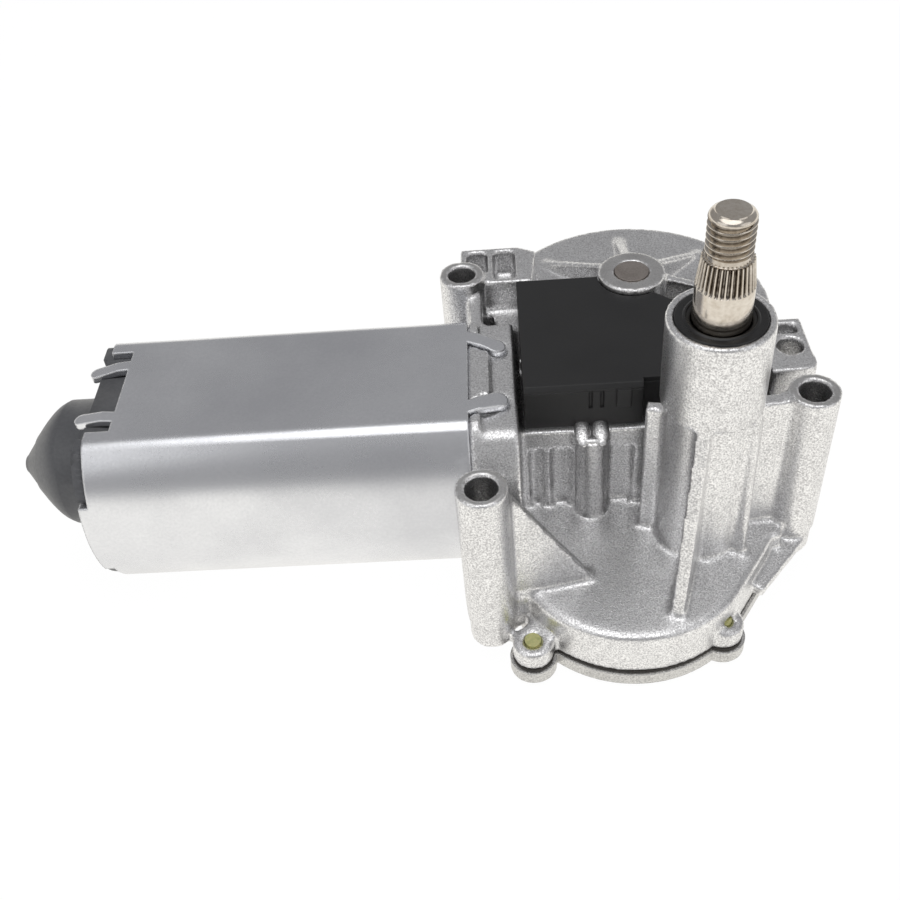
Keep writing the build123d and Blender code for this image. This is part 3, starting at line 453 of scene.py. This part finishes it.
# ---------------------------------------------------------------- sub-assemblies
@dataclass
class Casting:
    """The gear housing's casting, with the soft edges and root fillets that a die leaves."""

    source: str
    name: str
    body: str
    slot: str
    finish: str
    milled_z_mm: float
    roof_mm: float
    centre_mm: tuple[float, float]
    radius_mm: float
    voxel_mm: float = 0.75
    smoothing: int = 3
    triangles: int = 190000
    rim_mm: float = 3.4
    rim_lift_mm: float = 0.4
    rim_smoothing: int = 16
    flat_normal: float = 0.97

    def build(self, cad: bpy.types.Object, palette: Palette) -> None:
        """Rounds a copy of the plain casting.

        Args:
            cad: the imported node.
            palette: the finishes.
        """
        mesh = bmesh.new()
        mesh.from_mesh(cad.data)
        bmesh.ops.remove_doubles(mesh, verts=mesh.verts, dist=CAD_WELD_MM * MM)
        data = bpy.data.meshes.new(self.name)
        mesh.to_mesh(data)
        mesh.free()
        piece = bpy.data.objects.new(self.name, data)
        bpy.context.scene.collection.objects.link(piece)
        remesh = piece.modifiers.new("skin", "REMESH")
        remesh.mode = "VOXEL"
        remesh.voxel_size = self.voxel_mm * MM
        settle(piece)
        milled = (self.milled_z_mm - self.voxel_mm) * MM
        skin = [point.index for point in piece.data.vertices if point.co.z < milled]
        smooth(piece, "cast_skin", skin, self.smoothing)
        smooth(piece, "rim", self.rim(piece), self.rim_smoothing)
        # Each face of the remeshed skin is a quad, so it counts as two triangles.
        count = len(piece.data.polygons) * 2
        if count > self.triangles:
            thin = piece.modifiers.new("thin", "DECIMATE")
            thin.ratio = self.triangles / count
            settle(piece)
        piece.data.shade_smooth()
        palette.paint(piece, self.finish)
        self.mill(piece, palette)
        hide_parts(self.source)
        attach(piece, self.body)
        LOG.info("%s: %d triangles before thinning", self.name, count)

    def rim(self, piece: bpy.types.Object) -> list[int]:
        """Finds the front edge of the sector chamber's roof, which the die leaves much softer.

        Args:
            piece: the casting.

        Returns:
            Numbers of the points along the edge.
        """
        centre_x, centre_y = self.centre_mm
        chosen = []
        for point in piece.data.vertices:
            spot = point.co / MM
            reach = math.hypot(spot.x - centre_x, spot.y - centre_y)
            from_middle = abs(spot.z - self.roof_mm + self.rim_mm / 2 - self.rim_lift_mm)
            front = spot.y < centre_y and from_middle < self.rim_mm / 2 + self.rim_lift_mm
            if front and reach > self.radius_mm - self.rim_mm:
                chosen.append(point.index)
        return chosen

    def mill(self, piece: bpy.types.Object, palette: Palette) -> None:
        """Gives the milled finish to faces that lie flat at the mounting plane, to a third of a voxel.

        Args:
            piece: the casting.
            palette: the finishes.
        """
        piece.data.materials.append(palette.materials["milled"])
        for face in piece.data.polygons:
            near = abs(face.center.z / MM - self.milled_z_mm) < self.voxel_mm / 3
            if near and face.normal.z > self.flat_normal:
                face.material_index = 1


@dataclass
class Spindle:
    """The output spindle: threaded end, knurled cone and bare neck above the turret."""

    low_mm: float
    seat_r: float = 5.5
    journal_r: float = 6.5
    neck_r: float = 6.3
    neck_length: float = 11.0
    cone_top_r: float = 5.5
    cone_length: float = 6.9
    groove_r: float = 4.8
    groove_length: float = 1.1
    thread_r: float = 5.0
    thread_length: float = 10.0
    thread_depth: float = 0.85
    pitch: float = 1.5
    button_length: float = 1.9
    knurls: int = 32
    knurl_depth: float = 0.66
    knurl_top_share: float = 0.8
    face_gap: float = 0.03
    face_rise: float = 0.05
    seat_top_mm: float = -81.6
    turn_steps: int = 48
    flank_share: float = 0.55
    crest_drop: float = 0.06
    lead_in_turns: float = 1.5
    spare_turns: int = 3
    thread_weld_mm: float = 0.01
    # How strongly the knurl's roots and the thread's roots are darkened with grease and painted shade.
    knurl_grease_and_shade: float = 1.7
    thread_grease_and_shade: float = 0.7
    body_steps: int = 128
    foot_chamfer: float = 0.4
    neck_chamfer: float = 0.2
    # The button above the thread: how far its side stands in from the crests, and how far each point of
    # its rounded end lies in from that side and down from the spindle's end.
    button_inset: float = 0.15
    button_end: tuple[tuple[float, float], ...] = (
        (0.0, 1.6), (0.08, 1.2), (0.3, 0.88), (0.7, 0.62), (1.05, 0.42), (1.15, 0.32), (1.25, 0.15))

    def thread(self, mesh: bmesh.types.BMesh) -> None:
        """Cuts the screw thread as one helical sweep with flat ends.

        Args:
            mesh: gets the faces.
        """
        low = self.cone_length + self.groove_length
        high = low + self.thread_length - self.button_length
        turns = int((high - low) / self.pitch) + self.spare_turns
        root = self.thread_r - self.thread_depth
        flank = root + self.flank_share * self.thread_depth
        shoulder = self.thread_r - self.crest_drop
        # One turn from root to root: the radius, and the height in eighths of the pitch.
        profile = ((root, 0), (root, 1.4), (flank, 2.5), (shoulder, 3.3), (self.thread_r, 4),
                   (shoulder, 4.7), (flank, 5.5), (root, 6.6), (root, 8))
        eighth = self.pitch / 8
        start = low - self.lead_in_turns * self.pitch
        part = bmesh.new()
        points = [part.verts.new((radius * MM, 0, (start + height * eighth) * MM))
                  for radius, height in profile]
        edges = [part.edges.new(pair) for pair in zip(points, points[1:])]
        bmesh.ops.spin(part, geom=points + edges, cent=(0, 0, 0), axis=(0, 0, 1),
                       dvec=(0, 0, self.pitch * MM / self.turn_steps), angle=math.tau * turns,
                       steps=self.turn_steps * turns, use_merge=False, use_duplicate=False)
        bmesh.ops.remove_doubles(part, verts=part.verts, dist=self.thread_weld_mm * MM)
        for level, side in ((low, -1), (high, 1)):
            geometry = part.verts[:] + part.edges[:] + part.faces[:]
            cut = bmesh.ops.bisect_plane(part, geom=geometry, plane_co=(0, 0, level * MM),
                                         plane_no=(0, 0, side), clear_outer=True)
            rim = [edge for edge in cut["geom_cut"] if isinstance(edge, bmesh.types.BMEdge)]
            bmesh.ops.contextual_create(part, geom=rim)
        join(mesh, part)

    def knurl(self, mesh: bmesh.types.BMesh) -> None:
        """Raises the splines of the cone, with sloped run-outs at its foot.

        Args:
            mesh: gets the faces.
        """
        # Each ring's height above the cone's foot, and its share of the full depth.
        levels = ((0.0, 0.0), (0.2, 0.0), (0.5, 0.6), (1.0, 1.0), (self.cone_length - 0.3, 1.0),
                  (self.cone_length, self.knurl_top_share))
        # Share of the depth round one knurl, from crest to crest.
        groove = (0.0, 0.08, 0.55, 0.95, 1.0, 0.95, 0.55, 0.08)
        segments = self.knurls * len(groove)
        below = None
        for height, depth in levels:
            radius = self.cone_r(height)
            ring = self.ring(mesh, segments, radius, height)
            for index, corner in enumerate(ring):
                corner.co.xy *= 1 - groove[index % len(groove)] * self.knurl_depth * depth / radius
            below = self.bridge(mesh, below, ring)
        self.bridge(mesh, below, self.ring(mesh, segments, self.crown_r(), self.face_height()))

    def bridge(self, mesh: bmesh.types.BMesh, below: list[bmesh.types.BMEdge] | None,
               ring: list[bmesh.types.BMVert]) -> list[bmesh.types.BMEdge]:
        """Joins a circle of points to the circle below it.

        Args:
            mesh: gets the faces.
            below: edges of the circle below, or None for the lowest circle.
            ring: points of the circle.

        Returns:
            The circle's edges.
        """
        edges = list({edge for corner in ring for edge in corner.link_edges})
        if below is not None:
            bmesh.ops.bridge_loops(mesh, edges=below + edges)
        return edges

    def cone_r(self, height: float) -> float:
        """Radius of the cone at a height above its foot, both in millimetres."""
        return self.neck_r + (self.cone_top_r - self.neck_r) * height / self.cone_length

    def crown_r(self) -> float:
        """Radius of the plain face inside the knurled crown, in millimetres."""
        return self.cone_top_r - self.knurl_top_share * self.knurl_depth - self.face_gap

    def face_height(self) -> float:
        """Height of that face's rim above the cone's foot, in millimetres."""
        return self.cone_length + self.face_rise

    def ring(self, mesh: bmesh.types.BMesh, segments: int, radius: float,
             height: float) -> list[bmesh.types.BMVert]:
        """Adds a level circle of points.

        Args:
            mesh: gets the circle.
            segments: how many points it has.
            radius: its radius in millimetres.
            height: its height in millimetres.

        Returns:
            The points in order.
        """
        points = bmesh.ops.create_circle(mesh, segments=segments, radius=radius * MM)["verts"]
        bmesh.ops.translate(mesh, verts=points, vec=(0, 0, height * MM))
        return points

    def grease_and_shade(self, mesh: bmesh.types.BMesh, button: float) -> None:
        """Notes how deep each point lies below the crests, for the grease and painted shade in the roots.

        Args:
            mesh: the whole spindle.
            button: height of the thread's upper end, in millimetres.
        """
        layer = mesh.verts.layers.float.new(GREASE_AND_SHADE)
        for corner in mesh.verts:
            height, radius = corner.co.z / MM, corner.co.xy.length / MM
            # Deeper points get more of the painted grease and shade.
            if 0 < height <= self.cone_length:
                root_grease_and_shade = self.knurl_grease_and_shade * (self.cone_r(height) - radius) / self.knurl_depth
            elif self.cone_length < height < button:
                root_grease_and_shade = self.thread_grease_and_shade * (self.thread_r - radius) / self.thread_depth
            else:
                root_grease_and_shade = 0.0
            corner[layer] = min(max(root_grease_and_shade, 0.0), 1.0)

    def build(self, palette: Palette) -> None:
        """Makes the whole spindle.

        Args:
            palette: the finishes.
        """
        mesh = bmesh.new()
        low = self.cone_length + self.groove_length
        top = low + self.thread_length
        lathe(mesh, [(0, self.low_mm), (self.seat_r - self.foot_chamfer, self.low_mm),
                     (self.seat_r, self.low_mm + self.foot_chamfer), (self.seat_r, self.seat_top_mm),
                     (self.journal_r, self.seat_top_mm), (self.journal_r, -self.neck_length),
                     (self.neck_r, -self.neck_length + self.neck_chamfer), (self.neck_r, 0.0)],
              self.body_steps)
        lathe(mesh, [(self.crown_r(), self.face_height()), (self.groove_r, self.cone_length + 0.15),
                     (self.groove_r, low + 0.3), (self.groove_r - 0.6, low + 0.6)])
        button = top - self.button_length
        wide = self.thread_r - self.button_inset
        foot = [(wide - self.thread_depth, button - 0.3), (wide - 0.5, button + 0.2), (wide, button + 0.5)]
        end = [(wide - inward, top - down) for inward, down in self.button_end]
        lathe(mesh, foot + end + [(0, end[-1][1])])
        self.thread(mesh)
        self.knurl(mesh)
        self.grease_and_shade(mesh, button)
        piece = finished(mesh, "output_spindle")
        palette.paint(piece, "spindle")
        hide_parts("output_shaft")
        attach(piece, "output")


@dataclass
class Seal:
    """Rubber seal in the turret's mouth: a flat ring with a low bead and an inner lip."""

    bead_r: float = 7.8
    lip_r: float = 6.55
    face_mm: float = -8.5
    # The bead from outside to inside: how far out from its radius and up from the face each point lies.
    bead: tuple[tuple[float, float], ...] = (
        (0.45, -0.1), (0.25, 0.1), (0.0, 0.18), (-0.25, 0.1), (-0.45, -0.25))

    def build(self, low: Vector, high: Vector, palette: Palette) -> None:
        """Makes the seal.

        Args:
            low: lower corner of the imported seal's box.
            high: upper corner of that box.
            palette: the finishes.
        """
        outer = (high.x - low.x) / 2 / MM
        foot = low.z / MM
        face = self.face_mm
        mesh = bmesh.new()
        side = [(self.lip_r, foot), (outer, foot), (outer, face - 0.35), (outer - 0.25, face - 0.05),
                (outer - 0.6, face)]
        bead = [(self.bead_r + outward, face + up) for outward, up in self.bead]
        lip = [(self.lip_r + 0.35, face - 0.4), (self.lip_r, face - 0.7), (self.lip_r, foot)]
        lathe(mesh, side + bead + lip)
        piece = finished(mesh, "shaft_lip_seal")
        palette.paint(piece, "seal")
        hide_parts("shaft_seal")
        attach(piece, "housing")


@dataclass
class Cap:
    """End cap of the motor, whose dome falls to a blunt cone along the motor's axis."""

    # Faces that begin nearer the tip than this, less the slack, belong to the plain dome and go.
    dome_mm: float = 13.9
    slack_mm: float = 0.01
    # The dome from its tip: radius, and distance along the axis.
    outline: tuple[tuple[float, float], ...] = (
        (0, 0.0), (1.9, 0.0), (2.3, 0.15), (2.6, 0.5), (8.1, 4.9), (8.45, 4.9), (9.8, 6.1), (11.1, 7.2),
        (12.5, 8.5), (13.7, 9.7), (14.7, 10.8), (15.5, 11.9), (16.1, 13.0), (16.4, 14.0), (16.5, 15.0))

    def build(self, cad: bpy.types.Object, axis: Vector, palette: Palette) -> None:
        """Keeps the cap's plate and gives it a new dome.

        Args:
            cad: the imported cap.
            axis: a point on the motor's axis.
            palette: the finishes.
        """
        tip = min(corner.co.x for corner in cad.data.vertices)
        mesh = bmesh.new()
        lathe(mesh, list(self.outline))
        lying = Matrix.Translation((tip, axis.y, axis.z)) @ Matrix.Rotation(math.pi / 2, 4, "Y")
        bmesh.ops.transform(mesh, matrix=lying, verts=mesh.verts)
        plate = bmesh.new()
        plate.from_mesh(cad.data)
        edge = tip + (self.dome_mm - self.slack_mm) * MM
        old = [face for face in plate.faces if min(corner.co.x for corner in face.verts) < edge]
        bmesh.ops.delete(plate, geom=old, context="FACES")
        join(mesh, plate)
        piece = finished(mesh, "motor_cap")
        palette.paint(piece, "cap")
        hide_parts("end_cap")
        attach(piece, "housing")


@dataclass
class Peg:
    """Cast peg before the worm case, its top split by a slot and peened over in two lobes."""

    centre_mm: tuple[float, float]
    low_mm: float
    high_mm: float
    radius: float = 4.1
    steps: int = 64
    lobe_segments: int = 32
    lobe_rings: int = 16
    lobe_width: float = 2.1
    lobe_overhang: float = 0.3
    lobe_rise: float = 1.0
    lobe_tilt: float = math.radians(16)
    lobe_apart: float = 2.25
    lobe_back: float = 0.3

    def build(self, palette: Palette) -> None:
        """Makes the peg.

        Args:
            palette: the finishes.
        """
        mesh = bmesh.new()
        lathe(mesh, [(self.radius + 0.8, self.low_mm), (self.radius + 0.2, self.low_mm + 0.6),
                     (self.radius, self.low_mm + 1.5), (self.radius - 0.15, self.high_mm - 1.0),
                     (self.radius - 1.2, self.high_mm - 0.4), (0, self.high_mm - 0.4)], self.steps)
        for side in (-1, 1):
            lobe = bmesh.ops.create_uvsphere(mesh, u_segments=self.lobe_segments,
                                             v_segments=self.lobe_rings, radius=1.0)["verts"]
            size = (self.lobe_width * MM, (self.radius + self.lobe_overhang) * MM, self.lobe_rise * MM)
            tilt = Matrix.Rotation(self.lobe_tilt, 3, "X")
            place = (self.lobe_apart * side * MM, self.lobe_back * MM, self.high_mm * MM)
            bmesh.ops.scale(mesh, verts=lobe, vec=size)
            bmesh.ops.rotate(mesh, verts=lobe, cent=(0, 0, 0), matrix=tilt)
            bmesh.ops.translate(mesh, verts=lobe, vec=place)
        bmesh.ops.translate(mesh, verts=mesh.verts, vec=(self.centre_mm[0] * MM, self.centre_mm[1] * MM, 0))
        piece = finished(mesh, "peened_peg")
        palette.paint(piece, "cast")
        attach(piece, "housing")


# ---------------------------------------------------------------- studio
@dataclass(frozen=True)
class Lamp:
    """A soft round lamp."""

    name: str
    place_mm: tuple[float, float, float]
    size_mm: float
    power: float


@dataclass
class Studio:
    """Pale floor, surroundings that darken with height, soft lamps and the camera."""

    floor_mm: float
    camera_mm: tuple[float, float, float] = (-45.67, -187.34, 139.55)
    yaw_deg: float = 4.555
    pitch_deg: float = 44.31
    roll_deg: float = -6.28
    lens_mm: float = 44.18
    sensor_mm: float = 36.0
    near_mm: float = 10.0
    low_tint: str = "#FFFDF8"
    high_tint: str = "#F3F4FA"
    # The air's light at the horizon and overhead, and the heights (sines) between which it changes.
    low_light: float = 1.0
    high_light: float = 0.37
    low_height: float = 0.02
    high_height: float = 0.24
    floor_reach_mm: float = 6000.0
    floor_colour: tuple[float, float, float, float] = (0.9, 0.9, 0.9, 1.0)
    floor_glow: float = 1.05
    glow_share: float = 0.92
    aim_mm: tuple[float, float, float] = (-50, 10, -50)
    lamps: tuple[Lamp, ...] = (
        Lamp("overhead", (-60, -40, 600), 640, 1.3),
        Lamp("left", (-480, -260, 330), 520, 0.4),
        Lamp("right", (420, -320, 300), 520, 0.35),
    )

    def floor(self) -> None:
        """Lays the floor, which glows to the camera and to gloss, so that its shadow stays light."""
        mesh = bmesh.new()
        bmesh.ops.create_grid(mesh, x_segments=1, y_segments=1, size=self.floor_reach_mm * MM)
        bmesh.ops.translate(mesh, verts=mesh.verts, vec=(0, 0, self.floor_mm * MM))
        ground = finished(mesh, "studio_floor")
        material = bpy.data.materials.new("studio_white")
        material.use_nodes = True
        tree = material.node_tree
        tree.nodes.clear()
        matte = node(tree, "ShaderNodeBsdfDiffuse", {"Color": self.floor_colour})
        rays = node(tree, "ShaderNodeLightPath").outputs
        tint = mix(tree, Blend.COLOURS, rays["Is Glossy Ray"], WHITE, linear(self.low_tint))
        glow = node(tree, "ShaderNodeEmission", {"Strength": self.floor_glow}, Color=tint)
        seen = node(tree, "ShaderNodeMath", {"operation": "MAXIMUM"}, _0=rays["Is Camera Ray"],
                    _1=rays["Is Glossy Ray"])
        share = node(tree, "ShaderNodeMath", {"operation": "MULTIPLY", 1: self.glow_share},
                     _0=seen.outputs[0])
        mixed = node(tree, "ShaderNodeMixShader", _0=share.outputs[0], _1=matte.outputs[0],
                     _2=glow.outputs[0])
        node(tree, "ShaderNodeOutputMaterial", Surface=mixed.outputs[0])
        ground.data.materials.append(material)
        ground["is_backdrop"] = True

    def world(self) -> None:
        """Fills the air with light, white low down and dimmer overhead; the camera sees plain white."""
        world = bpy.data.worlds.new("studio_air")
        bpy.context.scene.world = world
        world.use_nodes = True
        tree = world.node_tree
        tree.nodes.clear()
        rays = node(tree, "ShaderNodeLightPath").outputs
        way = node(tree, "ShaderNodeTexCoord")
        height = node(tree, "ShaderNodeSeparateXYZ", _0=way.outputs["Generated"])
        level = node(tree, "ShaderNodeMapRange",
                     {"From Min": self.low_height, "From Max": self.high_height, "To Min": self.low_light,
                      "To Max": self.high_light, "interpolation_type": "SMOOTHSTEP"},
                     Value=height.outputs["Z"]).outputs[0]
        light = mix(tree, Blend.NUMBERS, rays["Is Camera Ray"], level, 1.0)
        tint = mix(tree, Blend.COLOURS, level, linear(self.high_tint), linear(self.low_tint))
        hue = mix(tree, Blend.COLOURS, rays["Is Camera Ray"], tint, WHITE)
        air = node(tree, "ShaderNodeBackground", Color=hue, Strength=light)
        node(tree, "ShaderNodeOutputWorld", Surface=air.outputs[0])

    def lights(self) -> None:
        """Hangs the soft lamps, each turned to the object."""
        aim = Vector(self.aim_mm) * MM
        for lamp in self.lamps:
            data = bpy.data.lights.new(lamp.name, "AREA")
            data.shape = "DISK"
            data.size = lamp.size_mm * MM
            data.energy = lamp.power
            hung = bpy.data.objects.new(lamp.name, data)
            hung.location = Vector(lamp.place_mm) * MM
            hung.rotation_euler = (aim - hung.location).to_track_quat("-Z", "Y").to_euler()
            bpy.context.scene.collection.objects.link(hung)

    def camera(self) -> None:
        """Sets up the camera."""
        data = bpy.data.cameras.new("view")
        data.lens = self.lens_mm
        data.sensor_width = self.sensor_mm
        data.clip_start = self.near_mm * MM
        seen = bpy.data.objects.new("view", data)
        turn = Matrix.Rotation(math.radians(self.yaw_deg), 4, "Z")
        tilt = Matrix.Rotation(math.radians(90 - self.pitch_deg), 4, "X")
        roll = Matrix.Rotation(math.radians(self.roll_deg), 4, "Z")
        seen.matrix_world = Matrix.Translation(Vector(self.camera_mm) * MM) @ turn @ tilt @ roll
        bpy.context.scene.collection.objects.link(seen)
        bpy.context.scene.camera = seen

    def build(self) -> None:
        """Sets the whole studio."""
        bpy.context.scene.view_settings.view_transform = "Standard"
        self.floor()
        self.world()
        self.lights()
        self.camera()


# ---------------------------------------------------------------- main
def corners() -> list[list[float]]:
    """The object's box as plain numbers."""
    return [[float(value) for value in corner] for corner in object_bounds()]


def main() -> None:
    """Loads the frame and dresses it."""
    logging.basicConfig(level=logging.INFO, format="%(message)s")
    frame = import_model()
    cad_box = corners()
    palette = Palette()
    for name, target in frame["nodes"].items():
        palette.paint(target, NODE_FINISH[name])
    floor = min(corner[2] for corner in cad_box) / MM
    Studio(floor_mm=floor).build()
    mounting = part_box("wheel_axle")[1].z / MM
    casting = Casting("gear_housing", "gear_case", "housing", "cast_aluminium", "cast",
                      milled_z_mm=mounting, roof_mm=mounting - CHAMBER_ROOF_DROP_MM,
                      centre_mm=CHAMBER_CENTRE_MM, radius_mm=CHAMBER_RADIUS_MM)
    casting.build(frame["nodes"]["gear_housing"], palette)
    Spindle(low_mm=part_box("output_shaft")[0].z / MM).build(palette)
    Seal().build(*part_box("shaft_seal"), palette)
    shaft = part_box("armature_shaft")
    Cap().build(frame["nodes"]["end_cap"], (shaft[0] + shaft[1]) / 2, palette)
    Peg(centre_mm=PEG_CENTRE_MM, low_mm=mounting - PEG_FOOT_DROP_MM,
        high_mm=mounting - PEG_TOP_DROP_MM).build(palette)
    for name in sorted(frame["nodes"]):
        LOG.info("%s dressed", name)


if __name__ == "__main__":
    main()
